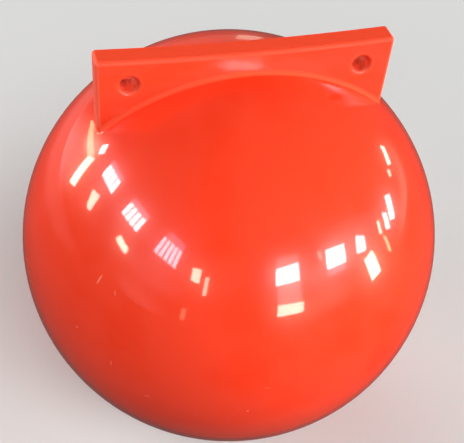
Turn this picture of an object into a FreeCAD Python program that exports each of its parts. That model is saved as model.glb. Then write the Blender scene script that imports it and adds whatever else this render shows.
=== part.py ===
import FreeCAD, Part
import math
import os
import Sketcher

# A hard plastic mooring float, moulded in one piece: a sealed ball with a lug plate standing
# across its top and a rope hole through each end of the plate. Sizes are in millimetres. +Z is
# up, X runs along the plate and Y through the holes. The origin is midway between the holes.

# The driving sizes. Each becomes a named cell of the sheet, with what it measures beside it.
SIZES = {
    "ball_diameter": (300.0, "outside of the ball"),
    "plate_length": (190.0, "lug plate from end to end"),
    "plate_thickness": (16.0, "lug plate from face to face"),
    "plate_rise": (18.0, "top corners of the plate above the ball's crown"),
    "plate_hollow": (2.4, "dip of the plate's top edge at its middle"),
    "hole_diameter": (11.0, "straight bore of a rope hole"),
    "hole_from_end": (20.0, "centre of a hole from its end of the plate"),
    "hole_from_top": (18.0, "centre of a hole below the top corners"),
    "edge_rounding": (2.5, "radius of the plate's outer edges"),
    "root_rounding": (2.5, "radius of the fillet between plate and ball"),
    "rim_rounding": (2.5, "radius of the mouths of the holes"),
}

document = FreeCAD.newDocument("mooring_float")
sheet = document.addObject("Spreadsheet::Sheet", "Sizes")
for row, (alias, (size, meaning)) in enumerate(SIZES.items(), start=1):
    sheet.set(f"A{row}", meaning)
    sheet.set(f"B{row}", str(size))
    sheet.setAlias(f"B{row}", alias)
document.recompute()

# Where things stand, as the sketches read it from the sheet, counted from the ball's centre.
BALL_RADIUS = "Sizes.ball_diameter / 2"
PLATE_TOP = "Sizes.ball_diameter / 2 + Sizes.plate_rise"
HOLLOW_RADIUS = "(Sizes.plate_length ^ 2 / 4 + Sizes.plate_hollow ^ 2) / (2 * Sizes.plate_hollow)"
HOLE_OFFSET = "Sizes.plate_length / 2 - Sizes.hole_from_end"
HOLE_HEIGHT = "Sizes.ball_diameter / 2 + Sizes.plate_rise - Sizes.hole_from_top"

# The same places as numbers, for drawing the sketches.
ball_radius = sheet.ball_diameter / 2
half_length = sheet.plate_length / 2
plate_top = ball_radius + sheet.plate_rise
hole_radius = sheet.hole_diameter / 2
hole_offset = half_length - sheet.hole_from_end
hole_height = plate_top - sheet.hole_from_top

# The numbers that a sketch gives its own two axes, the points of a line or arc, and its origin.
UPRIGHT_AXIS, ACROSS_AXIS = range(-2, 0)
START, END, CENTRE = range(1, 4)
SKETCH_ORIGIN = (ACROSS_AXIS, START)


def line(start, end):
    return Part.LineSegment(FreeCAD.Vector(*start, 0), FreeCAD.Vector(*end, 0))


def circle(centre, radius):
    return Part.Circle(FreeCAD.Vector(*centre, 0), FreeCAD.Vector(0, 0, 1), radius)


def arc(centre, radius, first_angle, last_angle):
    return Part.ArcOfCircle(circle(centre, radius), first_angle, last_angle)


def attached_sketch(body, name, plane_role):
    """An empty sketch on one of the body's own origin planes."""
    sketch = body.newObject("Sketcher::SketchObject", name)
    plane = next(item for item in body.Origin.OriginFeatures if item.Role == plane_role)
    sketch.AttachmentSupport = [(plane, "")]
    sketch.MapMode = "FlatFace"
    return sketch


def tie(sketch, kind, *geometry):
    """A constraint with no size, such as two ends that meet."""
    sketch.addConstraint(Sketcher.Constraint(kind, *geometry))


def drive(sketch, name, expression, kind, *geometry_and_size):
    """A dimension that follows the sheet."""
    index = sketch.addConstraint(Sketcher.Constraint(kind, *geometry_and_size))
    sketch.renameConstraint(index, name)
    sketch.setExpression(f"Constraints.{name}", expression)


def round_edges(body, name, size, pick):
    """Round the edges that pick takes from the body as it stands."""
    document.recompute()
    base = body.Tip
    picked = pick(base.Shape)
    names = [
        f"Edge{number}"
        for number, edge in enumerate(base.Shape.Edges, start=1)
        if is_among(edge, picked)
    ]
    fillet = body.newObject("PartDesign::Fillet", name)
    fillet.Base = (base, names)
    fillet.setExpression("Radius", f"Sizes.{size}")


def is_among(edge, edges):
    return any(edge.isSame(other) for other in edges)


def edges_of_ball(shape):
    """Every edge of the ball's round face: its seam, its poles and where the plate meets it."""
    return next(
        face.Edges for face in shape.Faces if face.Surface.TypeId == "Part::GeomSphere"
    )


def edges_of_plate(shape):
    return [edge for edge in shape.Edges if not is_among(edge, edges_of_ball(shape))]


def edges_at_root(shape):
    """Where the plate meets the ball."""
    plate_faces = [face for face in shape.Faces if face.Surface.TypeId != "Part::GeomSphere"]
    return [
        edge
        for edge in edges_of_ball(shape)
        if any(is_among(edge, face.Edges) for face in plate_faces)
    ]


def mouths_of_holes(shape):
    """The two round ends of each bore."""
    return [
        edge
        for face in shape.Faces
        if face.Surface.TypeId == "Part::GeomCylinder"
        and math.isclose(face.Surface.Radius, hole_radius)
        for edge in face.Edges
        if edge.Curve.TypeId == "Part::GeomCircle"
    ]


# The body is drawn about the ball's centre and set down so that the holes are level with the
# frame's origin.
float_body = document.addObject("PartDesign::Body", "float_body")
float_body.Label = "float_body"
float_body.setExpression(".Placement.Base.z", f"-({HOLE_HEIGHT})")

# The ball, turned about Y, the way the mould opens. Its half section hangs below that axis, so
# the seam of the round face runs under the ball and keeps clear of the plate.
ball_section = attached_sketch(float_body, "ball_section", "YZ_Plane")
skin = ball_section.addGeometry(arc((0, 0), ball_radius, math.pi, 2 * math.pi))
turning_line = ball_section.addGeometry(line((ball_radius, 0), (-ball_radius, 0)))
tie(ball_section, "Coincident", skin, END, turning_line, START)
tie(ball_section, "Coincident", turning_line, END, skin, START)
tie(ball_section, "Coincident", skin, CENTRE, *SKETCH_ORIGIN)
tie(ball_section, "PointOnObject", skin, START, ACROSS_AXIS)
tie(ball_section, "PointOnObject", skin, END, ACROSS_AXIS)
drive(ball_section, "ball_radius", BALL_RADIUS, "Radius", skin, ball_radius)

ball = float_body.newObject("PartDesign::Revolution", "ball")
ball.Profile = ball_section
ball.ReferenceAxis = (ball_section, ["H_Axis"])
ball.Angle = 360

# The lug plate: upright ends, and a top edge that dips towards its middle. It starts level with
# the ball's centre, well inside the ball, and comes out through the ball's top.
hollow_radius = (half_length**2 + sheet.plate_hollow**2) / (2 * sheet.plate_hollow)
hollow_centre = plate_top - sheet.plate_hollow + hollow_radius
hollow_angle = math.asin(half_length / hollow_radius)
straight_down = -math.pi / 2
plate_outline = attached_sketch(float_body, "plate_outline", "XZ_Plane")
left_end = plate_outline.addGeometry(line((-half_length, 0), (-half_length, plate_top)))
top_edge = plate_outline.addGeometry(
    arc((0, hollow_centre), hollow_radius, straight_down - hollow_angle, straight_down + hollow_angle)
)
right_end = plate_outline.addGeometry(line((half_length, plate_top), (half_length, 0)))
hidden_edge = plate_outline.addGeometry(line((half_length, 0), (-half_length, 0)))
for first, second in (
    (left_end, top_edge),
    (top_edge, right_end),
    (right_end, hidden_edge),
    (hidden_edge, left_end),
):
    tie(plate_outline, "Coincident", first, END, second, START)
tie(plate_outline, "Vertical", left_end)
tie(plate_outline, "Vertical", right_end)
tie(plate_outline, "PointOnObject", left_end, START, ACROSS_AXIS)
tie(plate_outline, "PointOnObject", right_end, END, ACROSS_AXIS)
tie(plate_outline, "PointOnObject", top_edge, CENTRE, UPRIGHT_AXIS)
tie(plate_outline, "Equal", left_end, right_end)
drive(plate_outline, "length", "Sizes.plate_length",
      "DistanceX", top_edge, START, top_edge, END, sheet.plate_length)
drive(plate_outline, "top", PLATE_TOP, "DistanceY", *SKETCH_ORIGIN, left_end, END, plate_top)
drive(plate_outline, "hollow", HOLLOW_RADIUS, "Radius", top_edge, hollow_radius)

lug_plate = float_body.newObject("PartDesign::Pad", "lug_plate")
lug_plate.Profile = plate_outline
lug_plate.SideType = "Symmetric"
lug_plate.setExpression("Length", "Sizes.plate_thickness")

# The plate's outer edges are rounded before the fillet that runs round its foot, so that the
# fillet turns its corners smoothly.
round_edges(float_body, "plate_edges", "edge_rounding", edges_of_plate)
round_edges(float_body, "plate_root", "root_rounding", edges_at_root)

# The rope holes go straight through the plate, and their mouths are rounded so that a rope
# doesn't chafe.
hole_places = attached_sketch(float_body, "hole_places", "XZ_Plane")
left_hole = hole_places.addGeometry(circle((-hole_offset, hole_height), hole_radius))
right_hole = hole_places.addGeometry(circle((hole_offset, hole_height), hole_radius))
tie(hole_places, "Equal", left_hole, right_hole)
tie(hole_places, "Symmetric", left_hole, CENTRE, right_hole, CENTRE, UPRIGHT_AXIS)
drive(hole_places, "bore", "Sizes.hole_diameter / 2", "Radius", left_hole, hole_radius)
drive(hole_places, "offset", HOLE_OFFSET,
      "DistanceX", *SKETCH_ORIGIN, right_hole, CENTRE, hole_offset)
drive(hole_places, "height", HOLE_HEIGHT,
      "DistanceY", *SKETCH_ORIGIN, right_hole, CENTRE, hole_height)

document.recompute()
volume_before_holes = float_body.Shape.Volume
rope_holes = float_body.newObject("PartDesign::Pocket", "rope_holes")
rope_holes.Profile = hole_places
rope_holes.Type = "ThroughAll"
rope_holes.SideType = "Symmetric"
round_edges(float_body, "hole_rims", "rim_rounding", mouths_of_holes)
document.recompute()

for item in document.Objects:
    if "Invalid" in item.State or "Error" in item.State:
        raise SystemExit(f"{item.Name} failed: {item.State}")
if float_body.Shape.isNull() or not float_body.Shape.isValid():
    raise SystemExit("float_body has no valid shape")
if len(float_body.Shape.Solids) != 1:
    raise SystemExit("float_body isn't one solid")
if float_body.Shape.Volume >= volume_before_holes:
    raise SystemExit("the rope holes cut nothing")

os.makedirs("parts", exist_ok=True)
float_body.Shape.exportStep(f"parts/{float_body.Label}.step")
print(f"float_body: {float_body.Shape.Volume / 1000:.1f} cubic centimetres")
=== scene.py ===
import math

import bmesh
import bpy
from mathutils import Matrix, Vector


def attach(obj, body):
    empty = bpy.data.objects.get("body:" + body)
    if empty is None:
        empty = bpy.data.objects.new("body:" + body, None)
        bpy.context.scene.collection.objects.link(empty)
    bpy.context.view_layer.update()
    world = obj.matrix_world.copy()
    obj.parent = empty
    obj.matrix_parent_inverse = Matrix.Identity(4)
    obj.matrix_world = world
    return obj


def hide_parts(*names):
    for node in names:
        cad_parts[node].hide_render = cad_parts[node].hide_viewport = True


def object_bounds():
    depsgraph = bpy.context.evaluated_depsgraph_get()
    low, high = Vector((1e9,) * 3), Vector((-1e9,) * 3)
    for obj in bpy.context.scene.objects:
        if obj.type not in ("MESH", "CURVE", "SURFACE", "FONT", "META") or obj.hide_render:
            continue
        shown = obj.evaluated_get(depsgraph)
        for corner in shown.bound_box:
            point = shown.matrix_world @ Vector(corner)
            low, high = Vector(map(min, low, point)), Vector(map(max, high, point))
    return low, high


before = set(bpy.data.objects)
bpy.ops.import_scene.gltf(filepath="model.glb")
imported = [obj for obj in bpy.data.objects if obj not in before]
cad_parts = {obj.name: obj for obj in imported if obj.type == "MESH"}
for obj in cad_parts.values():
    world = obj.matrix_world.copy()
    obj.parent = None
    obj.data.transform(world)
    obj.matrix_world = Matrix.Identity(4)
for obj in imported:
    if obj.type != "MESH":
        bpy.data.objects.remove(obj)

cad_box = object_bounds()
bpy.context.scene.view_settings.view_transform = "Standard"


# The camera stands where the photographer stood: above and a little to the left of the float,
# and tipped by a few degrees.
CAMERA_PLACE = Vector((-0.1452, -0.4338, 0.3140))
CAMERA_AIM = Vector((0.0035, 0.0062, -0.1430))
CAMERA_ROLL = math.radians(5.81)
LENS_MM = 67.59
SENSOR_MM = 36

camera_data = bpy.data.cameras.new("camera")
camera_data.sensor_width = SENSOR_MM
camera_data.lens = LENS_MM
camera = bpy.data.objects.new("camera", camera_data)
bpy.context.collection.objects.link(camera)
looking = (CAMERA_AIM - CAMERA_PLACE).to_track_quat("-Z", "Y").to_matrix().to_4x4()
camera.matrix_world = (
    Matrix.Translation(CAMERA_PLACE) @ looking @ Matrix.Rotation(CAMERA_ROLL, 4, "Z")
)
bpy.context.scene.camera = camera


# The float is one hard plastic moulding: a sealed ball with a lug plate standing across its top
# and a rope hole through each end of the plate. Plate, ball and holes share one unbroken skin,
# which is laid here patch by patch. Sizes are in millimetres, counted from the ball's centre.
BALL_RADIUS = 150
PLATE_HALF_LENGTH = 95
PLATE_HALF_THICKNESS = 8
PLATE_TOP = 168
PLATE_HOLLOW = 2.4
EDGE_ROUNDING = 2.5
ROOT_ROUNDING = 2.5
HOLE_OFFSET = 75
HOLE_HEIGHT = 150
BORE_RADIUS = 5.5
RIM_ROUNDING = 2.5

# The plate's spine is the flat rectangle inside its rounded edges, and its top edge follows a
# shallow circle.
spine_length = PLATE_HALF_LENGTH - EDGE_ROUNDING
spine_width = PLATE_HALF_THICKNESS - EDGE_ROUNDING
hollow_radius = (PLATE_HALF_LENGTH**2 + PLATE_HOLLOW**2) / (2 * PLATE_HOLLOW)
hollow_centre = PLATE_TOP - PLATE_HOLLOW + hollow_radius
UP = Vector((0, 0, 1))

# How many faces each stretch of skin has: down a side, round the plate, and at a hole.
EDGE_STEPS = 6
WALL_STEPS = 12
ROOT_STEPS = 6
BALL_STEPS = 96
PAST_HOLE_STEPS = 4
HOLE_STEPS = 20
MIDDLE_STEPS = 60
CORNER_STEPS = 24
END_STEPS = 8
RIM_STEPS = 6
COLLAR_STEPS = 5

# How far the wall is left open to either side of a hole's axis, for the collar round the hole.
HOLE_BLOCK = 13

skin = bmesh.new()
facing_layer = skin.verts.layers.float_vector.new("facing")


def lay_patch(rows, closed=False):
    """Cover rows of (place, facing) points with four-sided faces."""
    laid = []
    for row in rows:
        corners = []
        for place, facing in row:
            vertex = skin.verts.new((place - UP * HOLE_HEIGHT) / 1000)
            vertex[facing_layer] = facing
            corners.append(vertex)
        laid.append(corners + corners[:1] if closed else corners)
    for near, far in zip(laid, laid[1:]):
        for quad in zip(near, near[1:], far[1:], far):
            skin.faces.new(quad)


def between(start, end, steps):
    """Evenly spaced numbers from start to end, both counted."""
    return [start + (end - start) * step / steps for step in range(steps + 1)]


def hollow_edge(x):
    """Height of the rounding's centre under the plate's top, and the way that the top faces."""
    inward = Vector((-x, 0, math.sqrt((hollow_radius + EDGE_ROUNDING) ** 2 - x**2)))
    return hollow_centre - inward.z, inward.normalized()


# Round the plate, station by station: where the spine is, and which way the skin faces there.
along = []
for start, end, steps in (
    (-spine_length, -HOLE_OFFSET - HOLE_BLOCK, PAST_HOLE_STEPS),
    (-HOLE_OFFSET - HOLE_BLOCK, -HOLE_OFFSET + HOLE_BLOCK, HOLE_STEPS),
    (-HOLE_OFFSET + HOLE_BLOCK, HOLE_OFFSET - HOLE_BLOCK, MIDDLE_STEPS),
    (HOLE_OFFSET - HOLE_BLOCK, HOLE_OFFSET + HOLE_BLOCK, HOLE_STEPS),
    (HOLE_OFFSET + HOLE_BLOCK, spine_length, PAST_HOLE_STEPS),
):
    along += between(start, end, steps)[1 if along else 0:]
across = between(-spine_width, spine_width, END_STEPS)

stations = []
for quarter, side in enumerate((
    [(x, -spine_width) for x in along],
    [(spine_length, y) for y in across],
    [(x, spine_width) for x in reversed(along)],
    [(-spine_length, y) for y in reversed(across)],
)):
    facing_angle = math.radians(90 * (quarter - 1))
    stations += [(x, y, facing_angle) for x, y in side]
    corner = side[-1]
    stations += [
        (*corner, facing_angle + math.radians(90) * turn / CORNER_STEPS)
        for turn in range(1, CORNER_STEPS)
    ]


def skin_below(x, y, facing_angle):
    """The skin from the plate's top, down its side and round the ball to the ball's underside."""
    outward = Vector((math.cos(facing_angle), math.sin(facing_angle), 0))
    edge_height, top_facing = hollow_edge(x)
    edge_centre = Vector((x, y, edge_height))
    points = []
    for turn in between(0, 1, EDGE_STEPS):
        facing = top_facing.slerp(outward, turn)
        points.append((edge_centre + EDGE_ROUNDING * facing, facing))

    root_centre = Vector((x, y, 0)) + (EDGE_ROUNDING + ROOT_ROUNDING) * outward
    root_centre.z = math.sqrt((BALL_RADIUS + ROOT_ROUNDING) ** 2 - root_centre.length_squared)
    wall = Vector((x, y, 0)) + EDGE_ROUNDING * outward
    for height in between(edge_height, root_centre.z, WALL_STEPS)[1:]:
        points.append((wall + UP * height, outward))

    ball_facing = root_centre.normalized()
    for turn in between(0, 1, ROOT_STEPS)[1:]:
        facing = outward.slerp(ball_facing, turn)
        points.append((root_centre - ROOT_ROUNDING * facing, facing))

    # From the root on, the skin follows the ball in an upright plane, to the same place below.
    foot = BALL_RADIUS * ball_facing
    sideways = UP.cross(outward)
    ring_centre = foot.dot(sideways) * sideways
    ring_radius = (foot - ring_centre).length
    start_angle = math.atan2(foot.z, foot.dot(outward))
    for angle in between(start_angle, -start_angle, BALL_STEPS)[1:]:
        place = ring_centre + ring_radius * (math.cos(angle) * outward + math.sin(angle) * UP)
        points.append((place, place.normalized()))
    return points


columns = [skin_below(*station) for station in stations]

# Between the stations beside a hole the wall is left open, for the collar round the hole.
wall_top = EDGE_STEPS
wall_foot = EDGE_STEPS + WALL_STEPS
hole_sides = []
for (station, left), (next_station, right) in zip(
    zip(stations, columns), zip(stations[1:] + stations[:1], columns[1:] + columns[:1])
):
    is_long_side = station[1] == next_station[1] and abs(station[1]) == spine_width
    middle = (station[0] + next_station[0]) / 2
    beside_hole = is_long_side and abs(abs(middle) - HOLE_OFFSET) < HOLE_BLOCK
    if beside_hole:
        lay_patch([left[:wall_top + 1], right[:wall_top + 1]])
        lay_patch([left[wall_foot:], right[wall_foot:]])
        hole_sides.append((left[wall_top:wall_foot + 1], right[wall_top:wall_foot + 1]))
    else:
        lay_patch([left, right])

# Each hole: a collar of flat wall, a rounded mouth, and half of the bore, on each side.
steps_per_hole = len(hole_sides) // 4
for first in range(0, len(hole_sides), steps_per_hole):
    panels = hole_sides[first:first + steps_per_hole]
    upright_columns = [left for left, right in panels] + [panels[-1][1]]
    border = [column[0] for column in upright_columns]
    border += upright_columns[-1][1:]
    border += [column[-1] for column in reversed(upright_columns[:-1])]
    border += upright_columns[0][-2:0:-1]
    outward = border[0][1]
    hole_x = math.copysign(HOLE_OFFSET, border[0][0].x)
    hole_centre = Vector((hole_x, PLATE_HALF_THICKNESS * outward.y, HOLE_HEIGHT))
    mouth_radius = BORE_RADIUS + RIM_ROUNDING
    spokes = [(place - hole_centre).normalized() for place, facing in border]
    rings = []
    for share in between(0, 1, COLLAR_STEPS):
        rings.append([
            (place.lerp(hole_centre + mouth_radius * spoke, share), outward)
            for (place, facing), spoke in zip(border, spokes)
        ])
    for turn in between(0, math.pi / 2, RIM_STEPS)[1:]:
        facings = [math.cos(turn) * outward - math.sin(turn) * spoke for spoke in spokes]
        tube_centre = hole_centre - RIM_ROUNDING * outward
        rings.append([
            (tube_centre + mouth_radius * spoke + RIM_ROUNDING * facing, facing)
            for spoke, facing in zip(spokes, facings)
        ])
    bore_centre = Vector((hole_x, 0, HOLE_HEIGHT))
    rings.append([(bore_centre + BORE_RADIUS * spoke, -spoke) for spoke in spokes])
    lay_patch(rings, closed=True)

# The plate's top, and the ball's underside, where the mirrored root leaves a place to close.
top_rows = []
for y in across:
    row = []
    for x in along:
        edge_height, top_facing = hollow_edge(x)
        row.append((Vector((x, y, edge_height)) + EDGE_ROUNDING * top_facing, top_facing))
    top_rows.append(row)
lay_patch(top_rows)

shrink = BALL_RADIUS / (BALL_RADIUS + ROOT_ROUNDING)


def underside(x, y):
    place = Vector((x, y, 0)) * shrink
    place.z = -math.sqrt(BALL_RADIUS**2 - place.length_squared)
    return place, place.normalized()


lay_patch([[underside(x, y) for x in along] for y in across])
lay_patch(
    [[column[-1] for column in columns], [underside(x, y) for x, y, angle in stations]],
    closed=True,
)

WELD_DISTANCE = 1e-6
bmesh.ops.remove_doubles(skin, verts=skin.verts, dist=WELD_DISTANCE)
bmesh.ops.recalc_face_normals(skin, faces=skin.faces)
skin_mesh = bpy.data.meshes.new("moulded_float")
skin.to_mesh(skin_mesh)
facings = [Vector(vertex[facing_layer]).normalized() for vertex in skin.verts]
skin.free()
skin_mesh.attributes.remove(skin_mesh.attributes["facing"])
skin_mesh.shade_smooth()
skin_mesh.normals_split_custom_set_from_vertices(facings)
moulded_float = bpy.data.objects.new("moulded_float", skin_mesh)
bpy.context.collection.objects.link(moulded_float)

# Hard plastic coloured right through, glossy from a polished mould. The plate has been handled
# and roped, so it is duller than the ball, more so towards its ends, and it is rough along its
# edges and round its holes, which are also painted paler, partly for wear and partly as a
# painted highlight.
PLASTIC_IOR = 1.5
HAZE_ROUGHNESS = 0.27
plastic = bpy.data.materials.new("orange_red_plastic")
plastic.use_nodes = True
plastic_tree = plastic.node_tree
plastic_shader = plastic_tree.nodes["Principled BSDF"]
plastic_shader.inputs["IOR"].default_value = PLASTIC_IOR
plastic_shader.inputs["Specular IOR Level"].default_value = 0.5
plastic_shader.inputs["Coat Roughness"].default_value = HAZE_ROUGHNESS
plastic_shader.inputs["Coat IOR"].default_value = PLASTIC_IOR


def wire(tree, node_type, settings, feeds):
    """A new node with its settings, each input fed by another node or by a plain value."""
    node = tree.nodes.new(node_type)
    for setting, choice in settings.items():
        setattr(node, setting, choice)
    for name, feed in feeds.items():
        if isinstance(feed, bpy.types.NodeSocket):
            tree.links.new(feed, node.inputs[name])
        else:
            node.inputs[name].default_value = feed
    return node


skin_place = wire(plastic_tree, "ShaderNodeTexCoord", {}, {}).outputs["Object"]


def calculate(operation, *feeds, tree=plastic_tree):
    numbered = dict(enumerate(feeds))
    return wire(tree, "ShaderNodeMath", {"operation": operation}, numbered).outputs["Value"]


def rise(value, low, high, low_result=0.0, high_result=1.0, tree=plastic_tree):
    """A smooth step in value, from one result to the other."""
    return wire(tree, "ShaderNodeMapRange", {"interpolation_type": "SMOOTHSTEP"}, {
        "Value": value,
        "From Min": low,
        "From Max": high,
        "To Min": low_result,
        "To Max": high_result,
    }).outputs["Result"]


def distance(place, middle, tree=plastic_tree):
    return wire(
        tree, "ShaderNodeVectorMath", {"operation": "DISTANCE"}, {0: place, 1: middle}
    ).outputs["Value"]


def mix_colour(share, first, second, tree=plastic_tree):
    # A Mix node has its colour sockets after those for numbers and vectors.
    feeds = {0: share, 6: first, 7: second}
    return wire(tree, "ShaderNodeMix", {"data_type": "RGBA"}, feeds).outputs[2]


def mottle(grain_mm, stretch=(1, 1, 1), detail=4):
    """Cloudy noise from 0 to 1, with patches about grain_mm across times the stretch."""
    scale = [1000 / (grain_mm * part) for part in stretch]
    stretched = wire(plastic_tree, "ShaderNodeMapping", {}, {"Vector": skin_place, "Scale": scale})
    return wire(plastic_tree, "ShaderNodeTexNoise", {}, {
        "Vector": stretched.outputs["Vector"],
        "Scale": 1.0,
        "Detail": detail,
    }).outputs["Fac"]


# Where on the skin a place is: how far from the ball's centre, from a hole's axis, and below the
# plate's top edge. Each mask comes in over a band of such distances, in metres.
BALL_CENTRE = Vector((0, 0, -HOLE_HEIGHT / 1000))
PLATE_BAND = (0.1502, 0.1515)
CORNER_STARTS = (0.1500, 0.1503)
CORNER_ENDS = (0.1540, 0.1520)
HOLE_BAND = (0.0076, 0.0060)
RIM_BAND = (0.0112, 0.0086)
ROPED_BAND = (0.030, 0.090)
END_BAND = (0.0922, 0.0938)
TOP_BAND = (0.0010, 0.0002)
EDGE_UNDER_TOP = (0.0034, 0.0016)
EDGE_OFF_SPINE = (0.0040, 0.0060)
from_centre = distance(skin_place, BALL_CENTRE)
on_plate = rise(from_centre, *PLATE_BAND)
axes = wire(plastic_tree, "ShaderNodeSeparateXYZ", {}, {"Vector": skin_place}).outputs
from_middle = calculate("ABSOLUTE", axes["X"])
beside_axis = calculate("SUBTRACT", from_middle, HOLE_OFFSET / 1000)
from_hole = calculate(
    "SQRT", calculate("ADD", calculate("POWER", beside_axis, 2), calculate("POWER", axes["Z"], 2))
)
in_hole = rise(from_hole, *HOLE_BAND)
by_hole = calculate("MULTIPLY", rise(from_hole, *RIM_BAND), on_plate)
roped = calculate("MULTIPLY", rise(from_middle, *ROPED_BAND), on_plate)
dip_per_square = PLATE_HOLLOW * 1000 / PLATE_HALF_LENGTH**2
dip = calculate("MULTIPLY", calculate("POWER", from_middle, 2), dip_per_square)
top_edge = calculate("ADD", dip, (PLATE_TOP - PLATE_HOLLOW - HOLE_HEIGHT) / 1000)
below_top = calculate("SUBTRACT", top_edge, axes["Z"])
near_top = rise(below_top, *EDGE_UNDER_TOP)
off_spine = calculate("ABSOLUTE", axes["Y"])
top_edges = calculate("MULTIPLY", near_top, rise(off_spine, *EDGE_OFF_SPINE))
at_edge = calculate("MULTIPLY", top_edges, on_plate)
at_end = calculate("MULTIPLY", rise(from_middle, *END_BAND), on_plate)
on_top = calculate("MULTIPLY", rise(below_top, *TOP_BAND), on_plate)
in_corner = calculate(
    "MULTIPLY", rise(from_centre, *CORNER_STARTS), rise(from_centre, *CORNER_ENDS)
)

# The scratches and specks on the ball's front: bearing and height on the ball in degrees, length
# and width in millimetres, slant, and how pale each one is. Each fades away towards its edge.
MARKS = (
    (-142.2, 25.6, 10.5, 1.6, 76, 0.55),
    (-136.7, 24.6, 5.5, 1.3, -74, 0.30),
    (-145.8, 8.9, 2.6, 1.6, -9, 0.45),
    (-134.6, 4.3, 6.5, 1.4, -89, 0.30),
    (-124.6, -2.6, 6.5, 1.2, 11, 0.30),
    (-99.7, -2.3, 1.8, 1.5, 0, 0.60),
    (-95.8, 6.5, 7.5, 1.0, -7, 0.25),
)
MARK_DEPTH = 0.003
MARK_FADE = (0.0, 0.6)


def direction(bearing, height):
    """The way from the ball's centre at a bearing and height, both in radians."""
    return Vector((
        math.cos(height) * math.cos(bearing),
        math.cos(height) * math.sin(bearing),
        math.sin(height),
    ))


scratched = 0.0
for bearing, height, length, width, slant, paleness in MARKS:
    bearing, height, slant = (math.radians(angle) for angle in (bearing, height, slant))
    outward = direction(bearing, height)
    sideways = UP.cross(outward).normalized()
    along_mark = math.cos(slant) * sideways + math.sin(slant) * outward.cross(sideways)
    turned = Matrix((along_mark, outward.cross(along_mark), outward)).transposed()
    mark_place = wire(plastic_tree, "ShaderNodeMapping", {"vector_type": "TEXTURE"}, {
        "Vector": skin_place,
        "Location": BALL_CENTRE + outward * BALL_RADIUS / 1000,
        "Rotation": turned.to_euler(),
        "Scale": (length / 2000, width / 2000, MARK_DEPTH),
    })
    spot = wire(plastic_tree, "ShaderNodeTexGradient", {"gradient_type": "SPHERICAL"}, {
        "Vector": mark_place.outputs["Vector"],
    }).outputs["Fac"]
    scratched = calculate("MAXIMUM", scratched, rise(spot, *MARK_FADE, high_result=paleness))

# The colour runs a little uneven, and is paler where the plastic is scratched. Along the plate's
# edges and round its holes it is painted paler, partly for wear and partly as a painted highlight.
BALL_COLOUR = (0.90, 0.047, 0.0140, 1)
DEEPER_COLOUR = (0.88, 0.036, 0.0060, 1)
PLATE_COLOUR = (0.90, 0.050, 0.015, 1)
STREAK_COLOUR = (0.90, 0.060, 0.026, 1)
WEAR_AND_SHEEN_COLOUR = (0.89, 0.058, 0.017, 1)
PAINTED_END_LIGHT_COLOUR = (0.93, 0.108, 0.056, 1)
PAINTED_TOP_LIGHT_COLOUR = (0.92, 0.066, 0.021, 1)
PAINTED_ROOT_HIGHLIGHT_COLOUR = (0.90, 0.060, 0.013, 1)
HOLE_COLOUR = (0.75, 0.062, 0.026, 1)
BORE_MOTTLE_COLOUR = (0.50, 0.042, 0.015, 1)
SCRATCH_COLOUR = (0.95, 0.30, 0.20, 1)
RIM_WEAR_AND_SHEEN = 0.45
END_WEAR = 0.6
LEAST_WEAR_AND_SHEEN = 0.85
deeper = rise(mottle(45), low=0.40, high=0.70)
streaked = rise(mottle(16, stretch=(5, 1, 1)), low=0.35, high=0.65)
bore_mottle = rise(mottle(3.5), low=0.40, high=0.62)
wear_and_sheen_spread = rise(mottle(6, stretch=(4, 1, 1)), low=0.2, high=0.7, low_result=LEAST_WEAR_AND_SHEEN)
colour = mix_colour(deeper, BALL_COLOUR, DEEPER_COLOUR)
colour = mix_colour(on_plate, colour, mix_colour(streaked, PLATE_COLOUR, STREAK_COLOUR))
# Painted light: the plate's top face is painted paler, as a face lit from above.
colour = mix_colour(on_top, colour, PAINTED_TOP_LIGHT_COLOUR)
# The edges and hole rims: wear, and a painted highlight that makes them paler.
wear_and_sheen = calculate("MAXIMUM", at_edge, calculate("MULTIPLY", by_hole, RIM_WEAR_AND_SHEEN))
wear_and_sheen = calculate("MULTIPLY", wear_and_sheen, wear_and_sheen_spread)
colour = mix_colour(wear_and_sheen, colour, WEAR_AND_SHEEN_COLOUR)
# Painted light: the plate's end faces are painted paler, as faces that catch the light.
colour = mix_colour(at_end, colour, PAINTED_END_LIGHT_COLOUR)
wear_and_sheen = calculate("MAXIMUM", wear_and_sheen, calculate("MULTIPLY", at_end, END_WEAR))
# Painted highlight: the root fillet at the plate's foot is painted paler and more orange, as a
# soft highlight line.
colour = mix_colour(in_corner, colour, PAINTED_ROOT_HIGHLIGHT_COLOUR)
# The bores are darker than the plastic outside them, darker still in mottled patches.
colour = mix_colour(in_hole, colour, mix_colour(bore_mottle, HOLE_COLOUR, BORE_MOTTLE_COLOUR))
colour = mix_colour(scratched, colour, SCRATCH_COLOUR)

# Gloss: a polished ball, a duller plate, duller still where it was roped, and rough edges,
# corners, holes and scratches. The coat is the faint haze round a reflection, which the rough
# places don't have.
BALL_ROUGHNESS = 0.045
PLATE_ROUGHNESS = 0.13
ROPED_ROUGHNESS = 0.23
WORN_ROUGHNESS = 0.75
CORNER_ROUGHNESS = 0.80
HOLE_ROUGHNESS = 0.55
SCRATCH_ROUGHNESS = 1.0
UNEVEN_ROUGHNESS = 0.04
BALL_HAZE = 0.60
PLATE_HAZE = 0.15
roughness = rise(on_plate, 0, 1, BALL_ROUGHNESS, PLATE_ROUGHNESS)
unevenness = rise(mottle(2.2, detail=3), low=0.45, high=0.85, high_result=UNEVEN_ROUGHNESS)
roughness = calculate("ADD", roughness, unevenness)
roughness = calculate("MAXIMUM", roughness, calculate("MULTIPLY", roped, ROPED_ROUGHNESS))
haze = rise(on_plate, 0, 1, BALL_HAZE, PLATE_HAZE)
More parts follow.
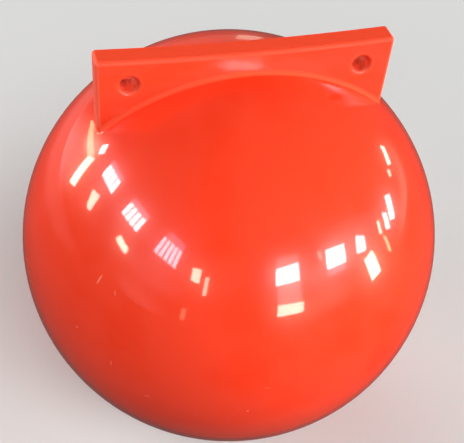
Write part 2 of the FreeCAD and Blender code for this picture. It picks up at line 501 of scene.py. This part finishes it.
for share, dullness in (
    (wear_and_sheen, WORN_ROUGHNESS),
    (in_corner, CORNER_ROUGHNESS),
    (in_hole, HOLE_ROUGHNESS),
    (scratched, SCRATCH_ROUGHNESS),
):
    roughness = calculate("MAXIMUM", roughness, calculate("MULTIPLY", share, dullness))
    haze = calculate("MULTIPLY", haze, rise(share, 0, 1, 1, 0))

# Relief: the slight waviness of the ball's skin, and a fine grain, fainter on the plate's walls
# than where it is worn. Heights are in metres.
WAVE_HEIGHT = 0.00006
GRAIN_HEIGHT = 0.00012
PLATE_GRAIN = 0.3
waves = wire(plastic_tree, "ShaderNodeBump", {}, {
    "Distance": WAVE_HEIGHT,
    "Height": mottle(55, detail=1),
})
grain_share = calculate(
    "MAXIMUM", calculate("MULTIPLY", on_plate, PLATE_GRAIN), calculate("MAXIMUM", wear_and_sheen, in_hole)
)
grain = wire(plastic_tree, "ShaderNodeBump", {}, {
    "Distance": GRAIN_HEIGHT,
    "Height": calculate("MULTIPLY", mottle(2.5), grain_share),
    "Normal": waves.outputs["Normal"],
})

for result, socket in (
    (colour, "Base Color"),
    (roughness, "Roughness"),
    (haze, "Coat Weight"),
    (grain.outputs["Normal"], "Normal"),
):
    plastic_tree.links.new(result, plastic_shader.inputs[socket])
skin_mesh.materials.append(plastic)

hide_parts("float_body")
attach(moulded_float, "root")


# The floor: a plain pale surface that the float stands on, and no part of it. Far from the float
# it passes into a backdrop of the same pale tone.
FLOOR_CORNERS = ((-6, -6), (6, -6), (6, 6), (-6, 6))
FLOOR_COLOUR = (0.56, 0.56, 0.55, 1)
FLOOR_ROUGHNESS = 0.7
PALE_TONE = (0.70, 0.70, 0.69, 1)
FADE_TO_BACKDROP = (0.30, 0.80)
floor_height = cad_box[0][2]
floor_mesh = bpy.data.meshes.new("floor")
floor_mesh.from_pydata([(x, y, floor_height) for x, y in FLOOR_CORNERS], [], [(0, 1, 2, 3)])
floor = bpy.data.objects.new("floor", floor_mesh)
bpy.context.collection.objects.link(floor)
floor_paint = bpy.data.materials.new("floor_paint")
floor_paint.use_nodes = True
floor_tree = floor_paint.node_tree
floor_shader = floor_tree.nodes["Principled BSDF"]
floor_shader.inputs["Roughness"].default_value = FLOOR_ROUGHNESS
ray_kind = wire(floor_tree, "ShaderNodeLightPath", {}, {}).outputs
floor_place = wire(floor_tree, "ShaderNodeTexCoord", {}, {}).outputs["Object"]


def glow(tree, colour, strength=1.0):
    feeds = {"Color": colour, "Strength": strength}
    return wire(tree, "ShaderNodeEmission", {}, feeds).outputs["Emission"]


def mix_shaders(tree, share, first, second):
    feeds = {"Fac": share, 1: first, 2: second}
    return wire(tree, "ShaderNodeMixShader", {}, feeds).outputs["Shader"]


# The light that the floor throws back up at the float is dimmer than its pale look.
THROWN_BACK_COLOUR = (0.16, 0.16, 0.155, 1)
floor_tone = mix_colour(
    ray_kind["Is Camera Ray"], THROWN_BACK_COLOUR, FLOOR_COLOUR, tree=floor_tree
)
floor_tree.links.new(floor_tone, floor_shader.inputs["Base Color"])
floor_reach = distance(floor_place, (0, 0, 0), tree=floor_tree)
floor_fade = rise(floor_reach, *FADE_TO_BACKDROP, tree=floor_tree)
far_to_eye = calculate("MULTIPLY", floor_fade, ray_kind["Is Camera Ray"], tree=floor_tree)
seen_floor = mix_shaders(
    floor_tree, far_to_eye, floor_shader.outputs["BSDF"], glow(floor_tree, PALE_TONE)
)

# For glossy rays the floor glows instead of being lit: a dim even glow as far as the
# horizon, and a painted pool of light on the far left.
GLOSS_TINT = (1.0, 0.97, 0.94, 1)
DIM_FLOOR = 0.09
POOL_GLOW = 0.33
POOL_MIDDLE = (-1.6, 1.9, floor_height)
POOL_REACH = (1.85, 1.50)
from_pool_middle = distance(floor_place, POOL_MIDDLE, tree=floor_tree)
floor_glow = rise(from_pool_middle, *POOL_REACH, DIM_FLOOR, POOL_GLOW, tree=floor_tree)
floor_in_gloss = glow(floor_tree, GLOSS_TINT, floor_glow)
whole_floor = mix_shaders(floor_tree, ray_kind["Is Glossy Ray"], seen_floor, floor_in_gloss)
floor_tree.links.new(whole_floor, floor_tree.nodes["Material Output"].inputs["Surface"])
floor_mesh.materials.append(floor_paint)


# The light: a dim surround, four soft lamps that don't show in the gloss, and the window panes
# and lit stretches of wall that only show there. Bearings and heights are in degrees, as the
# ball's centre sees them.
LAMP_DISTANCE = 2.5


def hang_lamp(name, bearing, height, length, width, tilt=0, turn=0, lean=0, shift=0.0):
    """A rectangular lamp that faces the ball, then is turned about its upright, leant about its
    level axis and tilted in its own plane, like a window in a wall."""
    bearing, height, tilt, turn, lean = (
        math.radians(angle) for angle in (bearing, height, tilt, turn, lean)
    )
    away = direction(bearing, height)
    sideways = UP.cross(away).normalized()
    upright = away.cross(sideways)
    sideways = math.cos(turn) * sideways + math.sin(turn) * away
    upright = math.cos(lean) * upright + math.sin(lean) * sideways.cross(upright)
    long_axis = math.cos(tilt) * sideways + math.sin(tilt) * upright
    backward = sideways.cross(upright)
    turned = Matrix((long_axis, backward.cross(long_axis), backward)).transposed().to_4x4()
    light = bpy.data.lights.new(name, "AREA")
    light.shape = "RECTANGLE"
    light.size = length
    light.size_y = width
    lamp = bpy.data.objects.new(name, light)
    centre = BALL_CENTRE + LAMP_DISTANCE * away + shift * long_axis
    lamp.matrix_world = Matrix.Translation(centre) @ turned
    lamp.visible_camera = False
    bpy.context.collection.objects.link(lamp)
    return lamp


# Each soft lamp: bearing, height and amount. A lamp of amount 1 makes a white surface that faces
# it render just white.
SOFT_LAMP_LENGTH = 1.4
SOFT_LAMP_WIDTH = 1.1
for name, bearing, height, amount in (
    ("key_lamp", -30, 8, 1.40),
    ("high_lamp", -80, 45, 0.80),
    ("left_lamp", 178, 18, 0.50),
    ("back_lamp", 112, 10, 1.35),
):
    soft_lamp = hang_lamp(name, bearing, height, SOFT_LAMP_LENGTH, SOFT_LAMP_WIDTH)
    soft_lamp.data.energy = amount * (math.pi * LAMP_DISTANCE) ** 2
    soft_lamp.data.cycles.use_multiple_importance_sampling = False
    soft_lamp.visible_glossy = False

# Each pane: bearing, height, length and width in metres, tilt, turn and lean, brightness, number
# of lights side by side, and tint.
COOL = (0.92, 0.95, 1.0)
WARM = (1.0, 0.94, 0.74)
AMBER = (1.0, 0.74, 0.42)
LILAC = (0.86, 0.70, 1.0)
PALE_LILAC = (0.95, 0.84, 1.0)
BAR_WIDTH = 0.034
PANES = (
    # the far left, seen in the ball beside the plate's left end
    (133.6, 13.8, 1.151, 0.292, 22.3, -62.0, 47.2, 7, 1, AMBER),
    (147.3, 11.6, 0.591, 0.428, -65.6, -56.6, -7.4, 18, 1, WARM),
    (144.5, 24.0, 0.195, 0.165, -16.8, -27.4, 1.9, 24, 1, COOL),
    # the left wall: three tall windows with blinds, and the lower row
    (162.5, 28.0, 0.704, 0.263, 13.2, -34.0, -13.4, 26, 4, COOL),
    (161.7, 32.2, 0.578, 0.095, 18.1, 17.1, -11.9, 3.5, 1, LILAC),
    (-170.3, 30.5, 0.622, 0.306, -0.1, -20.3, 6.5, 26, 4, COOL),
    (-169.9, 35.5, 0.577, 0.120, 1.6, -10.0, 11.6, 3.5, 1, LILAC),
    (-141.4, 28.6, 0.577, 0.542, -17.2, 18.2, 41.2, 17, 5, PALE_LILAC),
    (-139.8, 34.7, 0.469, 0.388, -39.6, 34.8, 62.0, 2.5, 1, LILAC),
    (166.1, 14.5, 1.458, 0.195, -28.6, 61.3, -62.0, 16, 1, WARM),
    (-166.0, 17.4, 0.352, 0.349, 57.7, 31.0, 62.0, 22, 1, WARM),
    (-123.6, 22.5, 0.414, 0.301, -0.6, -62.0, 0.1, 18, 1, WARM),
    (-117.5, 18.1, 0.427, 0.088, 85.3, -11.4, -10.5, 12, 1, WARM),
    (-125.9, 1.5, 0.280, 0.101, -88.2, -16.8, 15.4, 3.5, 1, AMBER),
    # in front
    (-72.2, 29.0, 1.003, 0.196, -3.9, 59.2, -21.0, 1.7, 1, COOL),
    (-75.2, 22.7, 0.544, 0.395, -0.7, -18.1, 22.7, 30, 1, COOL),
    (-75.5, 13.4, 0.523, 0.479, -2.3, -7.8, 4.9, 2.6, 1, COOL),
    (-75.3, 5.0, 0.646, 0.246, -4.8, 29.6, -8.1, 20, 1, WARM),
    (-55.1, 24.6, 0.152, 0.184, -3.9, 62.0, -2.5, 7, 1, WARM),
    # the right wall
    (-46.6, 19.4, 0.556, 0.371, -14.3, 28.1, -11.5, 34, 1, COOL),
    (-48.2, 13.7, 0.685, 0.128, -8.5, 48.7, -4.7, 3, 1, LILAC),
    (-31.1, 14.7, 0.616, 0.288, -15.3, 62.0, -24.3, 26, 1, COOL),
    (-29.6, 1.9, 0.545, 0.280, -84.5, 4.3, 8.1, 24, 1, WARM),
    (-17.2, 10.8, 0.252, 0.100, 58.2, 34.3, 9.8, 18, 1, WARM),
    (-17.1, 2.3, 0.368, 0.152, 63.9, 62.0, 11.9, 12, 1, AMBER),
    (-11.5, 8.3, 0.376, 0.272, -19.4, 62.0, -22.1, 18, 1, COOL),
    (-5.1, 8.4, 0.380, 0.218, 53.4, 19.6, -16.9, 20, 1, COOL),
    (8.3, 10.3, 0.117, 0.106, -50.2, 3.5, -12.7, 10, 1, WARM),
    (15.4, 10.6, 0.468, 0.286, -41.2, 41.7, -62.0, 14, 1, WARM),
    # behind
    (71.2, -1.6, 0.61, 0.21, 82, 0, 0, 0.9, 1, WARM),
)
for number, pane in enumerate(PANES):
    bearing, height, length, width, tilt, turn, lean, brightness, lights, tint = pane
    pitch = length / lights
    for place in range(lights):
        light_length = pitch - (BAR_WIDTH if lights > 1 else 0)
        shift = (place + 0.5 - lights / 2) * pitch
        glass = hang_lamp(
            f"pane_{number:02d}_{place}",
            bearing, height, light_length, width, tilt, turn, lean, shift,
        )
        glass.data.energy = brightness * math.pi * light_length * width
        glass.data.color = tint
        glass.visible_diffuse = False

# Each lit stretch of wall fades towards its edges: bearing, height, length and width in metres,
# tilt, turn and lean, brightness, and tint.
WALLS = (
    # on the right and in front
    (3.7, -3.0, 2.3, 1.35, 41.9, 20.2, -60.7, 0.90, WARM),
    (-26.0, 22.1, 2.0, 1.9, -12.6, 61.3, 53.6, 0.45, COOL),
    (-58.8, 15.2, 2.2, 0.90, -88.3, 7.6, 61.4, 0.85, COOL),
    (-56, 2, 1.9, 0.75, 0, 0, 0, 0.65, WARM),
    # on the left
    (139.7, 16.4, 1.3, 1.05, -17.5, 61.0, -42.0, 3.2, WARM),
    (130.8, -1.1, 2.2, 1.2, 40.5, 0, 0, 0.95, COOL),
    (-149.9, 0.7, 1.9, 1.45, 10.9, -37.9, -54.1, 0.50, COOL),
    (-146, 14, 2.2, 0.8, -10, 0, 0, 0.55, COOL),
    # behind
    (72.0, 3.0, 4.0, 1.8, 0, 0, 0, 0.13, WARM),
)
WALL_MIDDLE = (0.5, 0.5, 0)
WALL_FADE = (0.5, 0.1)
for number, wall in enumerate(WALLS):
    bearing, height, length, width, tilt, turn, lean, brightness, tint = wall
    patch = hang_lamp(f"wall_{number}", bearing, height, length, width, tilt, turn, lean)
    patch.data.energy = brightness * math.pi * length * width
    patch.data.color = tint
    patch.visible_diffuse = False
    patch.data.use_nodes = True
    wall_tree = patch.data.node_tree
    wall_place = wire(wall_tree, "ShaderNodeNewGeometry", {}, {}).outputs["Parametric"]
    from_wall_middle = distance(wall_place, WALL_MIDDLE, tree=wall_tree)
    wall_fade = rise(from_wall_middle, *WALL_FADE, tree=wall_tree)
    wall_tree.links.new(wall_fade, wall_tree.nodes["Emission"].inputs["Strength"])

# The surround: dim light from all round, which the eye sees as the pale backdrop.
SURROUND_COLOUR = (1, 1, 1, 1)
SURROUND_STRENGTH = 0.095
surround = bpy.data.worlds.new("surround")
bpy.context.scene.world = surround
surround.use_nodes = True
surround_tree = surround.node_tree
dim_surround = surround_tree.nodes["Background"]
dim_surround.inputs["Color"].default_value = SURROUND_COLOUR
dim_surround.inputs["Strength"].default_value = SURROUND_STRENGTH
pale_backdrop = wire(surround_tree, "ShaderNodeBackground", {}, {"Color": PALE_TONE})
whole_surround = mix_shaders(
    surround_tree,
    wire(surround_tree, "ShaderNodeLightPath", {}, {}).outputs["Is Camera Ray"],
    dim_surround.outputs["Background"],
    pale_backdrop.outputs["Background"],
)
surround_tree.links.new(whole_surround, surround_tree.nodes["World Output"].inputs["Surface"])
